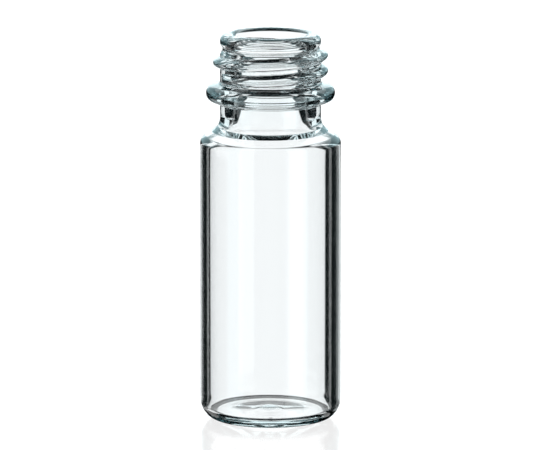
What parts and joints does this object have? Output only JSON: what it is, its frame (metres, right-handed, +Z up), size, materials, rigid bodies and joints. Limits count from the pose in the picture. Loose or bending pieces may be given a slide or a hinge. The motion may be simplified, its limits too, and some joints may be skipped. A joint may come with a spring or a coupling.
{
  "type": "glass sample vial",
  "caption": "Clear glass sample vial with a right-handed screw neck, a collar below the thread and a slightly hollow base, open and empty.",
  "frame": {"origin": "centre of the base, on the surface that the vial stands on", "axes": "+Z up along the vial's axis, out of its mouth; the thread's lower end starts near -X"},
  "size_m": [0.0116, 0.0116, 0.032],
  "materials": {
    "clear_glass": "polished, transparent"
  },
  "bodies": {
    "root": {"vial": "clear_glass"}
  },
  "joints": []
}
